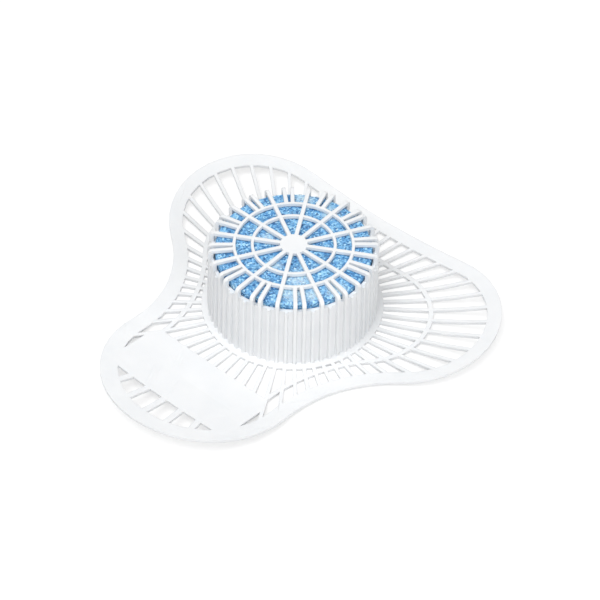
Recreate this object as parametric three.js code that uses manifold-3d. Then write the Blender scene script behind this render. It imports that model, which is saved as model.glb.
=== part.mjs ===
// Urinal deodorizer screen: a three-lobed slotted mat moulded in one piece with a ribbed round
// cage, and the deodorizer block that the cage holds.
// Millimetres, +Z up. The mat lies on z = 0 with its tab towards -Y, and the part is symmetric in X.
import * as THREE from 'three';
import { mergeVertices } from 'three/addons/utils/BufferGeometryUtils.js';
import Module from 'manifold-3d';

const wasm = await Module();
wasm.setup();

const degree = Math.PI / 180;

// Mat outline, as circles joined by tangent hollow arcs
const tab_centre_distance = 59.7;
const tab_radius = 45.1;
const lobe_centre_distance = 53.7;
const lobe_radius = 41.2;
const lobe_angle = 120.6 * degree;
const side_hollow_radius = 57.7;
const rear_hollow_radius = 1200;

// Mat sheet
const mat_thickness = 1.3;
const tab_rim_width = 7.8;
const lobe_rim_width = 6.4;
const dish_start_gap = 2.5;
const dish_rise = 7.6;
const dish_facet = 18;
const outline_facet = 6.5;

// Slots and the bars between them
const bar_count = 60;
const bar_width = 1.75;
const slot_start_gap = 3.5;
const band_width = 2.1;
const band_inset = 13.4;
const band_lobe_distance = 33;

// Plain panel and the slots at the end of the tab
const panel_start = 53;
const panel_end = 84.5;
const panel_half_width = 34.3;
const panel_corner_bar = 5;
const tab_bar_count = 5;
const tab_bar_pitch = 6.6 * degree;
const tab_bar_width = 2.9;

// Cage wall
const cage_radius = 38;
const cage_draft = 0.8;
const rib_depth = 1.1;
const rib_width = 1.3;
const rib_root_width = 1.7;
const wall_thickness = 1.5;

// Lid grid
const lid_height = 38;
const lid_thickness = 1.6;
const lid_gap = 3.5;
const spoke_width = 1.75;
const main_spoke_count = 12;
const pair_spoke_offset = 3 * degree;
const hub_radius = 6.1;
const ring_width = 1.3;
const inner_ring_radius = 18.4;
const outer_ring_radius = 26.5;
const lid_ring_sides = 36;
const spoke_bend_radius = 1.8;
const spoke_leg_width = 2;

// Deodorizer block and the lugs under it
const block_wall_gap = 0.4;
const block_edge = 0.7;
const block_lid_gap = 0.5;
const block_sides = 72;
const lug_count = 6;
const lug_height = 8;
const lug_reach = 3.6;
const lug_width = 9;
const lug_lip = 1.2;
const seat_clearance = 0.3;

// How far joined solids reach into each other, and how close points count as one
const overlap = 1;
const same_point = 1e-4;

// Places that follow from the sizes above
const bar_pitch = 2 * Math.PI / bar_count;
const wall_top = lid_height - lid_thickness - lid_gap;
const wall_outer_radius = cage_radius - rib_depth;
const wall_inner_radius = wall_outer_radius - wall_thickness;
const wall_middle = wall_outer_radius - wall_thickness / 2;
const slot_start_radius = cage_radius + slot_start_gap;
const dish_start_radius = cage_radius + dish_start_gap;
const block_radius = wall_inner_radius - block_wall_gap;
const lobe_reach = lobe_centre_distance + lobe_radius;
const tab_reach = tab_centre_distance + tab_radius;

function toSolid(geometry) {
  const bare = geometry.clone();
  bare.deleteAttribute('normal');
  bare.deleteAttribute('uv');
  const merged = mergeVertices(bare, same_point);
  return new wasm.Manifold(new wasm.Mesh({
    numProp: 3,
    vertProperties: new Float32Array(merged.attributes.position.array),
    triVerts: new Uint32Array(merged.index.array),
  }));
}

function toGeometry(solid) {
  const mesh = solid.getMesh();
  const geometry = new THREE.BufferGeometry();
  geometry.setAttribute('position', new THREE.BufferAttribute(new Float32Array(mesh.vertProperties), 3));
  geometry.setIndex(new THREE.BufferAttribute(new Uint32Array(mesh.triVerts), 1));
  return geometry;
}

function joinAll(solids) {
  return solids.reduce((whole, piece) => whole.add(piece));
}

// A point at a distance from the cage axis, with its angle measured from the tab
function polar(angle, distance) {
  return new THREE.Vector2(distance * Math.sin(angle), -distance * Math.cos(angle));
}

// A flat plate on z = 0 with the given outline
function plate(points, height = mat_thickness) {
  const shape = new THREE.Shape(points);
  return toSolid(new THREE.ExtrudeGeometry(shape, { depth: height, bevelEnabled: false }));
}

// A ring or disc of rectangular section around the cage axis
function ring(inner, outer, low, high, segments) {
  const corners = [
    new THREE.Vector2(inner, low),
    new THREE.Vector2(outer, low),
    new THREE.Vector2(outer, high),
    new THREE.Vector2(inner, high),
  ];
  if (inner > 0) corners.push(corners[0].clone());
  const lathe = new THREE.LatheGeometry(corners, segments);
  return toSolid(lathe.rotateX(Math.PI / 2));
}

// A flat bar that runs outwards from the cage axis
function radialBar(angle, start, end, width, low = 0, high = mat_thickness) {
  const bar = new THREE.BoxGeometry(end - start, width, high - low);
  bar.translate((start + end) / 2, 0, (low + high) / 2);
  return toSolid(bar.rotateZ(angle - Math.PI / 2));
}

// Points along an arc, anticlockwise for a turn of 1 and clockwise for a turn of -1
function arcPoints(centre, radius, from, to, turn, facet = outline_facet) {
  let sweep = to - from;
  while (sweep * turn < 0) sweep += turn * 2 * Math.PI;
  while (sweep * turn > 2 * Math.PI) sweep -= turn * 2 * Math.PI;
  const steps = Math.max(1, Math.ceil(Math.abs(sweep) * radius / facet));
  const points = [];
  for (let i = 0; i <= steps; i += 1) {
    const angle = from + sweep * i / steps;
    points.push(new THREE.Vector2(centre.x + radius * Math.cos(angle), centre.y + radius * Math.sin(angle)));
  }
  return points;
}

// The direction from one centre to another
function bearing(from, to) {
  return Math.atan2(to.y - from.y, to.x - from.x);
}

// The centre of the hollow arc that touches two circles from outside, on the side away from the cage
function hollowCentre(first, firstRadius, second, secondRadius, radius) {
  const span = first.distanceTo(second);
  const a = firstRadius + radius;
  const b = secondRadius + radius;
  const along = (span * span + a * a - b * b) / (2 * span);
  const across = Math.sqrt(a * a - along * along);
  const direction = second.clone().sub(first).divideScalar(span);
  const outward = new THREE.Vector2(direction.y, -direction.x);
  return first.clone().addScaledVector(direction, along).addScaledVector(outward, across);
}

// The centre of the rear hollow, on the line of symmetry behind two lobes
function rearCentre(lobe, radius) {
  const reach = radius + rear_hollow_radius;
  return new THREE.Vector2(0, lobe.y + Math.sqrt(reach * reach - lobe.x * lobe.x));
}

const tab_centre = polar(0, tab_centre_distance);
const lobe_centre = polar(lobe_angle, lobe_centre_distance);
const side_centre = hollowCentre(tab_centre, tab_radius, lobe_centre, lobe_radius, side_hollow_radius);
const rear_centre = rearCentre(lobe_centre, lobe_radius);
const rear_reach = rear_centre.y - rear_hollow_radius;
const body_shift = (tab_reach - rear_reach) / 2;

// A closed outline from its half on the +X side
function mirrored(half) {
  const other = half.map((point) => new THREE.Vector2(-point.x, point.y)).reverse();
  return removeRepeats([...half, ...other]);
}

function removeRepeats(points) {
  return points.filter((point, i) => point.distanceTo(points[(i + 1) % points.length]) > same_point);
}

// The edge of the mat, or a line inside it by the distances given for the tab and the lobes
function outline(tabInset, lobeInset) {
  const tab = tab_radius - tabInset;
  const lobe = lobe_radius - lobeInset;
  const hollow = side_hollow_radius + (tabInset + lobeInset) / 2;
  const side = hollowCentre(tab_centre, tab, lobe_centre, lobe, hollow);
  return mirrored([
    ...arcPoints(tab_centre, tab, -Math.PI / 2, bearing(tab_centre, side), 1),
    ...arcPoints(side, hollow, bearing(side, tab_centre), bearing(side, lobe_centre), -1),
    ...arcPoints(lobe_centre, lobe, bearing(lobe_centre, side), bearing(lobe_centre, rear_centre), 1),
    new THREE.Vector2(0, rear_reach - lobeInset),
  ]);
}

// The band between the inner and the outer slots follows the hollow sides and rounds each lobe
function bandLine(inset) {
  const hollow = side_hollow_radius + band_inset;
  const lobe = polar(lobe_angle, band_lobe_distance);
  const radius = side_centre.distanceTo(lobe) - hollow;
  const rear = rearCentre(lobe, radius);
  const start = Math.asin((-panel_start - side_centre.y) / (hollow + inset));
  return mirrored([
    new THREE.Vector2(0, -panel_start),
    ...arcPoints(side_centre, hollow + inset, Math.PI - start, bearing(side_centre, lobe), -1),
    ...arcPoints(lobe, radius - inset, bearing(lobe, side_centre), bearing(lobe, rear), 1),
    new THREE.Vector2(0, rear.y - rear_hollow_radius - inset),
  ]);
}

function makeRim() {
  return plate(outline(0, 0)).subtract(plate(outline(tab_rim_width, lobe_rim_width)));
}

function makeBand() {
  return plate(bandLine(0)).subtract(plate(bandLine(band_width)));
}

function makePanel() {
  const slope = Math.tan(panel_corner_bar * bar_pitch);
  return plate(mirrored([
    new THREE.Vector2(0, -panel_end),
    new THREE.Vector2(panel_half_width, -panel_end),
    new THREE.Vector2(panel_half_width, -panel_half_width / slope),
    new THREE.Vector2(panel_start * slope, -panel_start),
    new THREE.Vector2(0, -panel_start),
  ]));
}

function makeBars() {
  const bars = [];
  for (let i = 0; i < bar_count; i += 1) {
    const angle = i * bar_pitch;
    const steps_from_tab = Math.min(i, bar_count - i);
    const end = steps_from_tab < panel_corner_bar ? (panel_start + overlap) / Math.cos(angle) : tab_reach;
    bars.push(radialBar(angle, slot_start_radius - overlap, end, bar_width));
  }
  for (let i = 0; i < tab_bar_count; i += 1) {
    const angle = (i - (tab_bar_count - 1) / 2) * tab_bar_pitch;
    bars.push(radialBar(angle, (panel_end - overlap) / Math.cos(angle), tab_reach, tab_bar_width));
  }
  return joinAll(bars);
}

function makeMat() {
  const within_rim = plate(outline(tab_rim_width / 2, lobe_rim_width / 2));
  const grid = makeBars().add(makePanel()).intersect(within_rim);
  const foot = ring(wall_outer_radius, slot_start_radius, 0, mat_thickness, bar_count);
  return joinAll([makeRim(), makeBand(), grid, foot]);
}

// The wall widens a little downwards, and its ribs stand on the same pitch as the bars
function makeWall() {
  const points = [];
  for (let i = 0; i < bar_count; i += 1) {
    const corners = [
      [-rib_root_width / 2, wall_outer_radius],
      [-rib_width / 2, cage_radius],
      [rib_width / 2, cage_radius],
      [rib_root_width / 2, wall_outer_radius],
    ];
    for (const [across, radius] of corners) {
      points.push(polar(i * bar_pitch + across / radius, radius));
    }
  }
  const shape = new THREE.Shape(points);
  const bore = new THREE.Path();
  bore.absarc(0, 0, wall_inner_radius, 0, 2 * Math.PI, true);
  shape.holes.push(bore);
  const wall = new THREE.ExtrudeGeometry(shape, {
    depth: wall_top, bevelEnabled: false, curveSegments: bar_count / 2,
  });
  const position = wall.attributes.position;
  for (let i = 0; i < position.count; i += 1) {
    const spread = 1 + cage_draft / cage_radius * (1 - position.getZ(i) / wall_top);
    position.setXY(i, position.getX(i) * spread, position.getY(i) * spread);
  }
  return toSolid(wall);
}

// A spoke runs along the lid, bends over its edge and stands on the wall
function makeSpoke(angle, start) {
  const under = lid_height - lid_thickness;
  const bend = new THREE.Vector2(cage_radius - spoke_bend_radius, lid_height - spoke_bend_radius);
  const profile = new THREE.Shape([
    new THREE.Vector2(start, under),
    new THREE.Vector2(cage_radius - spoke_leg_width, under),
    new THREE.Vector2(cage_radius - spoke_leg_width, wall_top),
    new THREE.Vector2(wall_middle, wall_top - overlap),
    new THREE.Vector2(cage_radius, wall_top),
    ...arcPoints(bend, spoke_bend_radius, 0, Math.PI / 2, 1, spoke_bend_radius),
    new THREE.Vector2(start, lid_height),
  ]);
  const blade = new THREE.ExtrudeGeometry(profile, { depth: spoke_width, bevelEnabled: false });
  blade.translate(0, 0, -spoke_width / 2).rotateX(Math.PI / 2).rotateZ(angle - Math.PI / 2);
  return toSolid(blade);
}

function makeLid() {
  const under = lid_height - lid_thickness;
  const pieces = [ring(0, hub_radius, under, lid_height, lid_ring_sides)];
  for (const radius of [inner_ring_radius, outer_ring_radius]) {
    pieces.push(ring(radius - ring_width / 2, radius + ring_width / 2, under, lid_height, lid_ring_sides));
  }
  const main_pitch = 2 * Math.PI / main_spoke_count;
  for (let i = 0; i < main_spoke_count; i += 1) {
    const angle = i * main_pitch;
    pieces.push(makeSpoke(angle, hub_radius - overlap));
    for (const side of [-1, 1]) {
      pieces.push(makeSpoke(angle + main_pitch / 2 + side * pair_spoke_offset, outer_ring_radius));
    }
  }
  return joinAll(pieces);
}

// Snap lugs on the inside of the wall, which the block rests on
function makeLugs() {
  const tip = wall_inner_radius - lug_reach;
  const profile = new THREE.Shape([
    new THREE.Vector2(wall_middle, lug_height - lug_lip - lug_reach),
    new THREE.Vector2(wall_middle, lug_height),
    new THREE.Vector2(tip, lug_height),
    new THREE.Vector2(tip, lug_height - lug_lip),
  ]);
  const lugs = [];
  for (let i = 0; i < lug_count; i += 1) {
    const lug = new THREE.ExtrudeGeometry(profile, { depth: lug_width, bevelEnabled: false });
    lug.translate(0, 0, -lug_width / 2).rotateX(Math.PI / 2).rotateZ((i + 0.5) * 2 * Math.PI / lug_count);
    lugs.push(toSolid(lug));
  }
  return joinAll(lugs);
}

// Divides every edge of the mat that is longer than the facet, so that the sheet can take the dish
function splitLongEdges(geometry, longest) {
  const points = Array.from(geometry.attributes.position.array);
  const point = (i) => new THREE.Vector3(points[3 * i], points[3 * i + 1], points[3 * i + 2]);
  let triangles = Array.from(geometry.index.array);
  let before = 0;
  while (triangles.length > before) {
    before = triangles.length;
    const known = new Map();
    const middle = (i, j) => {
      const key = i < j ? `${i},${j}` : `${j},${i}`;
      if (!known.has(key)) {
        const [a, b] = [point(i), point(j)];
        const on_dish = Math.max(Math.hypot(a.x, a.y), Math.hypot(b.x, b.y)) > dish_start_radius;
        const centre = a.clone().add(b).multiplyScalar(0.5);
        const is_long = on_dish && a.distanceTo(b) > longest;
        known.set(key, is_long ? points.push(...centre) / 3 - 1 : -1);
      }
      return known.get(key);
    };
    const next = [];
    for (let t = 0; t < before; t += 3) {
      const [a, b, c] = triangles.slice(t, t + 3);
      next.push(...divided([a, b, c], [middle(a, b), middle(b, c), middle(c, a)], point));
    }
    triangles = next;
  }
  const split = new THREE.BufferGeometry();
  split.setAttribute('position', new THREE.BufferAttribute(new Float32Array(points), 3));
  split.setIndex(new THREE.BufferAttribute(new Uint32Array(triangles), 1));
  return split;
}

// The triangles that a triangle falls into, given the middle point of each long edge, or -1
function divided(corners, middles, point) {
  const count = middles.filter((i) => i >= 0).length;
  const turn = count === 1 ? middles.findIndex((i) => i >= 0) : (middles.indexOf(-1) + 1) % 3;
  const [a, b, c] = [0, 1, 2].map((i) => corners[(i + turn) % 3]);
  const [ab, bc, ca] = [0, 1, 2].map((i) => middles[(i + turn) % 3]);
  if (count === 0) return [a, b, c];
  if (count === 1) return [a, ab, c, ab, b, c];
  if (count === 3) return [a, ab, ca, ab, b, bc, ca, bc, c, ab, bc, ca];
  const cut_from_a = point(a).distanceTo(point(bc)) < point(ab).distanceTo(point(c));
  return cut_from_a ? [ab, b, bc, a, ab, bc, a, bc, c] : [ab, b, bc, a, ab, c, ab, bc, c];
}

// Raises the mat towards its edge as a shallow dish, by the full rise at the tips of the rear lobes
function dish(geometry) {
  const position = geometry.attributes.position;
  for (let i = 0; i < position.count; i += 1) {
    const radius = Math.hypot(position.getX(i), position.getY(i));
    const way = Math.max(0, radius - dish_start_radius) / (lobe_reach - dish_start_radius);
    position.setZ(i, position.getZ(i) + dish_rise * way * way);
  }
  return geometry;
}

function makeScreenGeometry() {
  const cage = joinAll([makeWall(), makeLid(), makeLugs()]);
  const flat = toGeometry(makeMat().add(cage));
  return dish(splitLongEdges(flat, dish_facet));
}

function makeBlockGeometry() {
  const low = lug_height + seat_clearance;
  const high = lid_height - lid_thickness - block_lid_gap;
  const profile = [
    new THREE.Vector2(0, low),
    new THREE.Vector2(block_radius - block_edge, low),
    new THREE.Vector2(block_radius, low + block_edge),
    new THREE.Vector2(block_radius, high - block_edge),
    new THREE.Vector2(block_radius - block_edge, high),
    new THREE.Vector2(0, high),
  ];
  return mergeVertices(new THREE.LatheGeometry(profile, block_sides).rotateX(Math.PI / 2));
}

function addPart(group, name, geometry, color, roughness) {
  const material = new THREE.MeshStandardMaterial({ color, roughness, metalness: 0 });
  const mesh = new THREE.Mesh(geometry, material);
  mesh.name = name;
  mesh.position.set(0, body_shift, 0);
  group.add(mesh);
}

const group = new THREE.Group();
addPart(group, 'screen', makeScreenGeometry(), 0xf2f4f5, 0.45);
addPart(group, 'deodorizer_block', makeBlockGeometry(), 0x4a93d0, 0.7);

export default group;
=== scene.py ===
import math

import bmesh
import bpy
from mathutils import Matrix, Vector, noise


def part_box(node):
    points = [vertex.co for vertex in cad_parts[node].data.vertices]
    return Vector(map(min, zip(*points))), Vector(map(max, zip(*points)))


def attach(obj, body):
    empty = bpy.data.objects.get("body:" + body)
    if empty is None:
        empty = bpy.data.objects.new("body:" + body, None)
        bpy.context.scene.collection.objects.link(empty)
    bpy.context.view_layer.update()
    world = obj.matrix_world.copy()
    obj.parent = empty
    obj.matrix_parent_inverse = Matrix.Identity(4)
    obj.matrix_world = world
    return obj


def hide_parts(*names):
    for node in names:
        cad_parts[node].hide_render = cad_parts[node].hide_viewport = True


# Millimetre, in metres
MM = 0.001

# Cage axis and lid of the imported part
AXIS_Y = 18.56 * MM
LID_Z = 38 * MM

# Camera, as fitted to the photograph
CAMERA_AZIMUTH = math.radians(39.7)
CAMERA_ELEVATION = math.radians(45.9)
CAMERA_ROLL = math.radians(1.46)
CAMERA_DISTANCE = 895.7 * MM
CAMERA_SIDE = 2.74 * MM
CAMERA_RISE = -24.87 * MM
CAMERA_LENS = 121.6

# The part of the floor's white that the camera sees as its own light: by the object, and far from it
FLOOR_GLOW = 0.61
FAR_GLOW = 1.0
GLOW_NEAR = 250 * MM
GLOW_FAR = 900 * MM

# Floor and backdrop: how far the floor reaches to the front and the back, and the curve between the two
FLOOR_WIDTH = 6.0
FLOOR_FRONT = 3.0
FLOOR_BACK = 1.6
BACKDROP_CURVE = 0.8
BACKDROP_STEPS = 12
BACKDROP_HEIGHT = 3.0
FLOOR_GAP = 0.05 * MM

# White plastic
CLOUD_SIZE = 14 * MM
GRAIN_SIZE = 0.5 * MM
GRAIN_BUMP = 0.05 * MM
EDGE_ROUND = 0.35 * MM

# Block: the mesh, the facets of its surface, and the grains in its material
BLOCK_EDGE = 0.7 * MM
BLOCK_SEGMENTS = 340
BLOCK_STEP = 0.6 * MM
BLOCK_CENTRE_DIP = 0.1 * MM
FACET_SIZE = 1.3 * MM
FACET_DEPTH = 0.26 * MM
PIT_SIZE = 5 * MM
CRYSTAL_SIZE = 0.8 * MM
CRYSTAL_BUMP = 0.3 * MM
VEIL_SIZE = 3 * MM
PALE_SPECKLE = 1.2 * MM
PALE_EDGE = 2.0

# Pale patches on the block, most of them on its front towards the camera, in millimetres: place from the
# cage axis, and radius
PALE_SPOTS = [
    (14.0, -13.3, 5.0),
    (1.5, -13.7, 2.5),
    (19.0, -21.5, 5.5),
    (25.6, -16.8, 3.5),
    (31.5, -8.0, 4.5),
    (-2.2, 27.5, 4.0),
    (-17.4, 28.0, 4.5),
    (-12.7, -2.8, 2.5),
]


def new_material(name):
    material = bpy.data.materials.new(name)
    material.use_nodes = True
    nodes = material.node_tree.nodes
    nodes.clear()
    output = nodes.new("ShaderNodeOutputMaterial")
    return material, nodes, material.node_tree.links, output


def add_coordinates(nodes):
    return nodes.new("ShaderNodeTexCoord").outputs["Object"]


def add_noise(nodes, links, place, size, detail=3.0, roughness=0.5):
    texture = nodes.new("ShaderNodeTexNoise")
    texture.inputs["Scale"].default_value = 1 / size
    texture.inputs["Detail"].default_value = detail
    texture.inputs["Roughness"].default_value = roughness
    links.new(place, texture.inputs["Vector"])
    return texture.outputs["Fac"]


def add_cells(nodes, links, place, size):
    texture = nodes.new("ShaderNodeTexVoronoi")
    texture.inputs["Scale"].default_value = 1 / size
    links.new(place, texture.inputs["Vector"])
    return texture


def add_range(nodes, links, value, low, high):
    ranged = nodes.new("ShaderNodeMapRange")
    ranged.inputs["To Min"].default_value = low
    ranged.inputs["To Max"].default_value = high
    links.new(value, ranged.inputs["Value"])
    return ranged.outputs["Result"]


def add_ramp(nodes, links, value, stops):
    ramp = nodes.new("ShaderNodeValToRGB")
    elements = ramp.color_ramp.elements
    while len(elements) < len(stops):
        elements.new(0.5)
    for element, (position, color) in zip(elements, stops):
        element.position = position
        element.color = (*color, 1)
    links.new(value, ramp.inputs["Fac"])
    return ramp.outputs["Color"]


# White moulded plastic, satin, with a fine grain and rounded-looking edges
def make_plastic():
    material, nodes, links, output = new_material("white_plastic")
    place = add_coordinates(nodes)
    shader = nodes.new("ShaderNodeBsdfPrincipled")
    cloud = add_noise(nodes, links, place, CLOUD_SIZE)
    color = add_ramp(nodes, links, cloud, [
        (0.3, (0.80, 0.815, 0.83)),
        (0.7, (0.84, 0.85, 0.86)),
    ])
    links.new(color, shader.inputs["Base Color"])
    grain = add_noise(nodes, links, place, GRAIN_SIZE, detail=2)
    links.new(add_range(nodes, links, grain, 0.42, 0.56), shader.inputs["Roughness"])
    shader.inputs["Subsurface Weight"].default_value = 0.12
    shader.inputs["Subsurface Radius"].default_value = (1.2, 1.3, 1.4)
    shader.inputs["Subsurface Scale"].default_value = 1 * MM
    shader.inputs["IOR"].default_value = 1.5
    edge = nodes.new("ShaderNodeBevel")
    edge.samples = 4
    edge.inputs["Radius"].default_value = EDGE_ROUND
    bump = nodes.new("ShaderNodeBump")
    bump.inputs["Strength"].default_value = 0.06
    bump.inputs["Distance"].default_value = GRAIN_BUMP
    links.new(grain, bump.inputs["Height"])
    links.new(edge.outputs["Normal"], bump.inputs["Normal"])
    links.new(bump.outputs["Normal"], shader.inputs["Normal"])
    links.new(shader.outputs["BSDF"], output.inputs["Surface"])
    return material


# How strongly a place lies in one of the pale patches, from 0 to 1
def add_pale_patches(nodes, links, place):
    total = None
    for x, y, radius in PALE_SPOTS:
        distance = nodes.new("ShaderNodeVectorMath")
        distance.operation = "DISTANCE"
        links.new(place, distance.inputs[0])
        distance.inputs[1].default_value = (x * MM, y * MM + AXIS_Y, LID_Z)
        near = nodes.new("ShaderNodeMapRange")
        near.inputs["From Min"].default_value = (radius + PALE_EDGE) * MM
        near.inputs["From Max"].default_value = radius * 0.4 * MM
        links.new(distance.outputs["Value"], near.inputs["Value"])
        if total is None:
            total = near.outputs["Result"]
            continue
        total = add_larger(nodes, links, total, near.outputs["Result"])
    return total


def add_product(nodes, links, first, second):
    product = nodes.new("ShaderNodeMath")
    product.operation = "MULTIPLY"
    links.new(first, product.inputs[0])
    links.new(second, product.inputs[1])
    return product.outputs["Value"]


def add_color_mix(nodes, links, factor, first, color):
    mix = nodes.new("ShaderNodeMix")
    mix.data_type = "RGBA"
    links.new(factor, mix.inputs["Factor"])
    links.new(first, mix.inputs[6])
    mix.inputs[7].default_value = (*color, 1)
    return mix.outputs[2]


# Pressed crystals: blue grains with pale sparkles and a few paler patches
def make_crystals():
    material, nodes, links, output = new_material("pressed_crystals")
    place = add_coordinates(nodes)
    shader = nodes.new("ShaderNodeBsdfPrincipled")
    cells = add_cells(nodes, links, place, CRYSTAL_SIZE)
    grains = add_ramp(nodes, links, cells.outputs["Color"], [
        (0.15, (0.020, 0.105, 0.29)),
        (0.40, (0.075, 0.27, 0.56)),
        (0.62, (0.17, 0.45, 0.77)),
        (0.80, (0.37, 0.69, 0.92)),
        (0.96, (0.70, 0.92, 1.00)),
    ])
    streaks = add_noise(nodes, links, place, VEIL_SIZE, detail=4, roughness=0.7)
    veil = add_ramp(nodes, links, streaks, [
        (0.48, (0, 0, 0)),
        (0.75, (0.6, 0.6, 0.6)),
    ])
    veiled = add_color_mix(nodes, links, veil, grains, (0.36, 0.66, 0.88))
    # The colour turns pale blue-white in the pale patches, broken up by a speckle
    speckle = add_noise(nodes, links, place, PALE_SPECKLE, detail=3, roughness=0.7)
    spread = add_ramp(nodes, links, speckle, [
        (0.36, (0.25, 0.25, 0.25)),
        (0.58, (1, 1, 1)),
    ])
    pale_mask = add_product(nodes, links, add_pale_patches(nodes, links, place), spread)
    color = add_color_mix(nodes, links, pale_mask, veiled, (0.66, 0.83, 0.90))
    links.new(color, shader.inputs["Base Color"])
    links.new(add_range(nodes, links, cells.outputs["Distance"], 0.25, 0.6), shader.inputs["Roughness"])
    shader.inputs["Subsurface Weight"].default_value = 0.1
    shader.inputs["Subsurface Radius"].default_value = (0.6, 1.0, 1.6)
    shader.inputs["Subsurface Scale"].default_value = 1 * MM
    bump = nodes.new("ShaderNodeBump")
    bump.inputs["Strength"].default_value = 0.7
    bump.inputs["Distance"].default_value = CRYSTAL_BUMP
    links.new(cells.outputs["Distance"], bump.inputs["Height"])
    links.new(bump.outputs["Normal"], shader.inputs["Normal"])
    links.new(shader.outputs["BSDF"], output.inputs["Surface"])
    return material


# The larger of two values
def add_larger(nodes, links, first, second):
    larger = nodes.new("ShaderNodeMath")
    larger.operation = "MAXIMUM"
    links.new(first, larger.inputs[0])
    links.new(second, larger.inputs[1])
    return larger.outputs["Value"]


# The floor takes shadows. Its lit parts look white to the camera and in reflections, partly by a light
# of their own.
def make_floor_material():
    material, nodes, links, output = new_material("floor")
    place = add_coordinates(nodes)
    cloud = add_noise(nodes, links, place, 60 * MM)
    path = nodes.new("ShaderNodeLightPath")
    shaders = []
    for low, high in ((0.70, 0.72), (0.44, 0.45)):
        color = add_ramp(nodes, links, cloud, [
            (0.3, (low, low, low)),
            (0.7, (high, high, high)),
        ])
        diffuse = nodes.new("ShaderNodeBsdfDiffuse")
        links.new(color, diffuse.inputs["Color"])
        shaders.append(diffuse)
    distance = nodes.new("ShaderNodeVectorMath")
    distance.operation = "LENGTH"
    links.new(place, distance.inputs[0])
    reach = add_range(nodes, links, distance.outputs["Value"], FLOOR_GLOW, FAR_GLOW)
    reach.node.inputs["From Min"].default_value = GLOW_NEAR
    reach.node.inputs["From Max"].default_value = GLOW_FAR
    glow = nodes.new("ShaderNodeEmission")
    links.new(reach, glow.inputs["Strength"])
    lit = nodes.new("ShaderNodeAddShader")
    links.new(shaders[1].outputs["BSDF"], lit.inputs[0])
    links.new(glow.outputs["Emission"], lit.inputs[1])
    seen = nodes.new("ShaderNodeMixShader")
    mirrored = add_larger(nodes, links, path.outputs["Is Glossy Ray"], path.outputs["Is Transmission Ray"])
    links.new(add_larger(nodes, links, path.outputs["Is Camera Ray"], mirrored), seen.inputs["Fac"])
    links.new(shaders[0].outputs["BSDF"], seen.inputs[1])
    links.new(lit.outputs["Shader"], seen.inputs[2])
    links.new(seen.outputs["Shader"], output.inputs["Surface"])
    return material


# A floor that curves up into a backdrop behind the object
def make_floor():
    profile = [(-FLOOR_FRONT, 0.0), (FLOOR_BACK, 0.0)]
    for step in range(1, BACKDROP_STEPS + 1):
        angle = step / BACKDROP_STEPS * math.pi / 2
        forward = FLOOR_BACK + BACKDROP_CURVE * math.sin(angle)
        profile.append((forward, BACKDROP_CURVE - BACKDROP_CURVE * math.cos(angle)))
    profile.append((FLOOR_BACK + BACKDROP_CURVE, BACKDROP_HEIGHT))
    turn = Matrix.Rotation(CAMERA_AZIMUTH, 3, "Z")
    bm = bmesh.new()
    rows = []
    for side in (-FLOOR_WIDTH / 2, FLOOR_WIDTH / 2):
        rows.append([bm.verts.new(turn @ Vector((side, y, z - FLOOR_GAP))) for y, z in profile])
    for i in range(len(profile) - 1):
        face = bm.faces.new([rows[0][i], rows[1][i], rows[1][i + 1], rows[0][i + 1]])
        face.smooth = True
    floor = make_object("floor", bm, make_floor_material())


def make_object(name, bm, material):
    bm.normal_update()
    mesh = bpy.data.meshes.new(name)
    bm.to_mesh(mesh)
    bm.free()
    mesh.materials.append(material)
    obj = bpy.data.objects.new(name, mesh)
    bpy.context.scene.collection.objects.link(obj)
    return obj


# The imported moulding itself, in its white plastic
def make_screen(node):
    node.data.materials.clear()
    node.data.materials.append(make_plastic())


# Radius and height pairs from the middle of the top, over the chamfers, to the middle of the underside
def block_profile(radius, low, high):
    corners = [
        (0.0, high),
        (radius - BLOCK_EDGE, high),
        (radius, high - BLOCK_EDGE),
        (radius, low + BLOCK_EDGE),
        (radius - BLOCK_EDGE, low),
        (0.0, low),
    ]
    points = []
    for (r0, z0), (r1, z1) in zip(corners, corners[1:]):
        steps = max(1, round(math.hypot(r1 - r0, z1 - z0) / BLOCK_STEP))
        for step in range(steps):
            way = step / steps
            points.append((r0 + (r1 - r0) * way, z0 + (z1 - z0) * way))
    return points[1:]


# How far the surface lies under the block's outline, so that grains stand out as small facets
def facet_depth(point):
    place = point / FACET_SIZE
    centre = noise.voronoi(place)[1][0]
    level = noise.cell(centre * 7.3)
    tilt = (place - centre).dot(noise.cell_vector(centre * 3.1) - Vector((0.5, 0.5, 0.5)))
    pit = max(0.0, noise.noise(point / PIT_SIZE) - 0.25)
    depth = 0.45 * level + 0.5 * tilt + 1.1 * pit
    return FACET_DEPTH * min(max(depth + 0.3, 0.02), 1.6)


def make_block():
    low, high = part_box("deodorizer_block")
    radius = (high.x - low.x) / 2
    axis = Vector((0, AXIS_Y, 0))
    inside = Vector((0, 0, (low.z + high.z) / 2))
    bm = bmesh.new()

    def add_vertex(r, z, angle):
        point = Vector((r * math.cos(angle), r * math.sin(angle), z))
        inward = (inside - point).normalized()
        return bm.verts.new(point + inward * facet_depth(point) + axis)

    rings = []
    for r, z in block_profile(radius, low.z, high.z):
        ring = []
        for i in range(BLOCK_SEGMENTS):
            ring.append(add_vertex(r, z, 2 * math.pi * i / BLOCK_SEGMENTS))
        rings.append(ring)
    top = bm.verts.new(axis + Vector((0, 0, high.z - BLOCK_CENTRE_DIP)))
    bottom = bm.verts.new(axis + Vector((0, 0, low.z + BLOCK_CENTRE_DIP)))
    for i in range(BLOCK_SEGMENTS):
        j = (i + 1) % BLOCK_SEGMENTS
        bm.faces.new([top, rings[0][i], rings[0][j]])
        bm.faces.new([bottom, rings[-1][j], rings[-1][i]])
        for upper, lower in zip(rings, rings[1:]):
            bm.faces.new([upper[i], lower[i], lower[j], upper[j]])
    block = make_object("crystal_block", bm, make_crystals())
    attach(block, "root")
    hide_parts("deodorizer_block")


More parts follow.
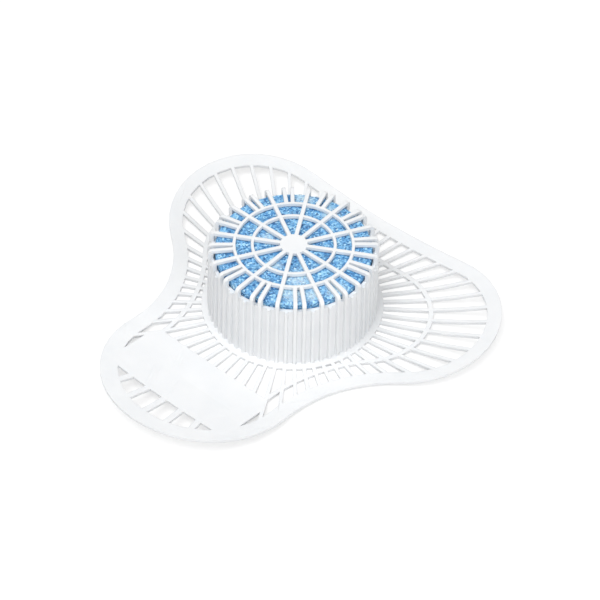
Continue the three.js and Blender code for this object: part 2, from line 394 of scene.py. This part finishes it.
def make_camera():
    azimuth, elevation = CAMERA_AZIMUTH, CAMERA_ELEVATION
    back = Vector((
        math.sin(azimuth) * math.cos(elevation),
        -math.cos(azimuth) * math.cos(elevation),
        math.sin(elevation),
    ))
    level = Vector((math.cos(azimuth), math.sin(azimuth), 0))
    upright = back.cross(level)
    right = math.cos(CAMERA_ROLL) * level + math.sin(CAMERA_ROLL) * upright
    up = math.cos(CAMERA_ROLL) * upright - math.sin(CAMERA_ROLL) * level
    target = Vector((0, AXIS_Y, LID_Z))
    place = target + right * CAMERA_SIDE + up * CAMERA_RISE + back * CAMERA_DISTANCE
    data = bpy.data.cameras.new("camera")
    data.lens = CAMERA_LENS
    data.sensor_width = 36
    data.clip_start = 0.05
    camera = bpy.data.objects.new("camera", data)
    camera.matrix_world = Matrix((
        (right.x, up.x, back.x, place.x),
        (right.y, up.y, back.y, place.y),
        (right.z, up.z, back.z, place.z),
        (0, 0, 0, 1),
    ))
    bpy.context.scene.collection.objects.link(camera)
    bpy.context.scene.camera = camera


# A square soft light; the azimuth is counted from the camera's, positive to its right
def make_light(name, azimuth, elevation, distance, size, power):
    turn = CAMERA_AZIMUTH + math.radians(azimuth)
    height = math.radians(elevation)
    back = Vector((
        math.sin(turn) * math.cos(height),
        -math.cos(turn) * math.cos(height),
        math.sin(height),
    ))
    data = bpy.data.lights.new(name, "AREA")
    data.shape = "SQUARE"
    data.size = size
    data.energy = power
    light = bpy.data.objects.new(name, data)
    light.location = back * distance
    light.rotation_euler = back.to_track_quat("Z", "Y").to_euler()
    bpy.context.scene.collection.objects.link(light)


def make_world(strength):
    world = bpy.data.worlds.new("studio")
    world.use_nodes = True
    background = world.node_tree.nodes["Background"]
    background.inputs["Color"].default_value = (1, 1, 1, 1)
    background.inputs["Strength"].default_value = strength
    bpy.context.scene.world = world


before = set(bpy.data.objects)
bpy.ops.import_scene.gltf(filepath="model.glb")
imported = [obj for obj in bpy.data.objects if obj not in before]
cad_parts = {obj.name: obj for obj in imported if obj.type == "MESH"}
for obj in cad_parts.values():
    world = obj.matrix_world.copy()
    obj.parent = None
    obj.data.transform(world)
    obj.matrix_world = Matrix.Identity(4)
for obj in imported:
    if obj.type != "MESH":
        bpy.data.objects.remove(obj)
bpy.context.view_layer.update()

make_screen(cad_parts["screen"])
make_block()

make_floor()
make_camera()
make_light("key", -35, 68, 1.4, 0.9, 12.8)
make_light("fill", 35, 30, 1.6, 1.2, 7.5)
make_world(0.5)
bpy.context.scene.view_settings.view_transform = "Standard"
